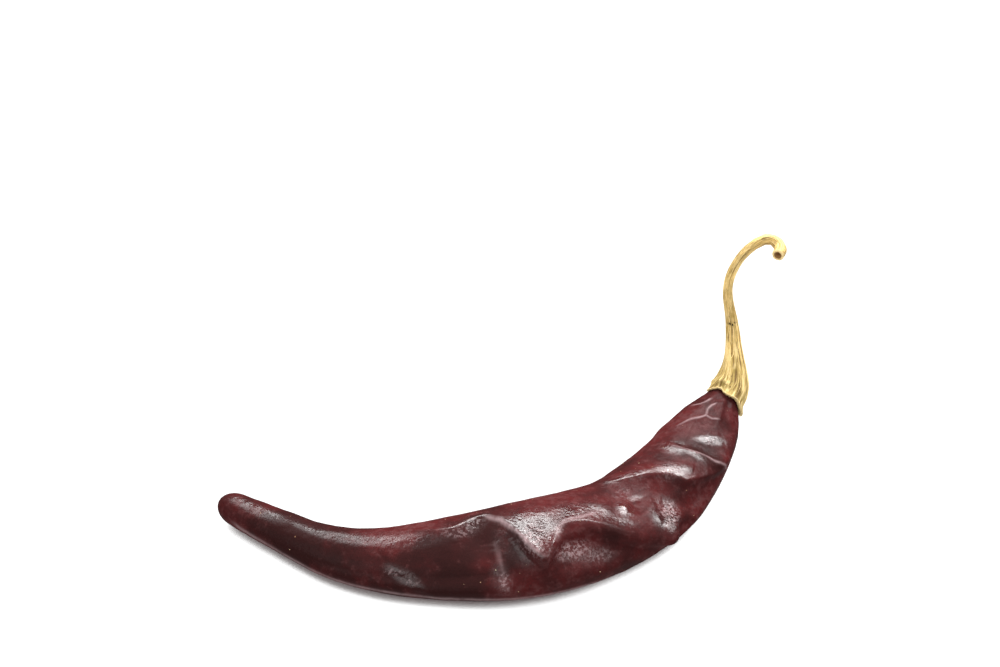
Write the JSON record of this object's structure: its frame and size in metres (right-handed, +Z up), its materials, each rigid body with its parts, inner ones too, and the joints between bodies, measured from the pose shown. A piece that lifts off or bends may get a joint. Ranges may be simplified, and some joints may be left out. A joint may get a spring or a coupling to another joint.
{
  "type": "dried chilli",
  "caption": "Single long dried chilli with a wrinkled, flattened, curved pod and a hooked woody stem, lying on its belly.",
  "frame": {"origin": "middle of the bounding box's footprint, on the surface the pod lies on", "axes": "+X from the pod's tip towards its neck, +Z up, -Y towards the pod's outer curve"},
  "size_m": [0.14, 0.0878, 0.0498],
  "materials": {
    "skin": "glossy, dark maroon, wrinkled dried skin with mottled highlights",
    "stem": "dry, fibrous, yellowish tan"
  },
  "bodies": {
    "root": {"pod": "skin", "calyx_and_stem": "stem"}
  },
  "joints": []
}
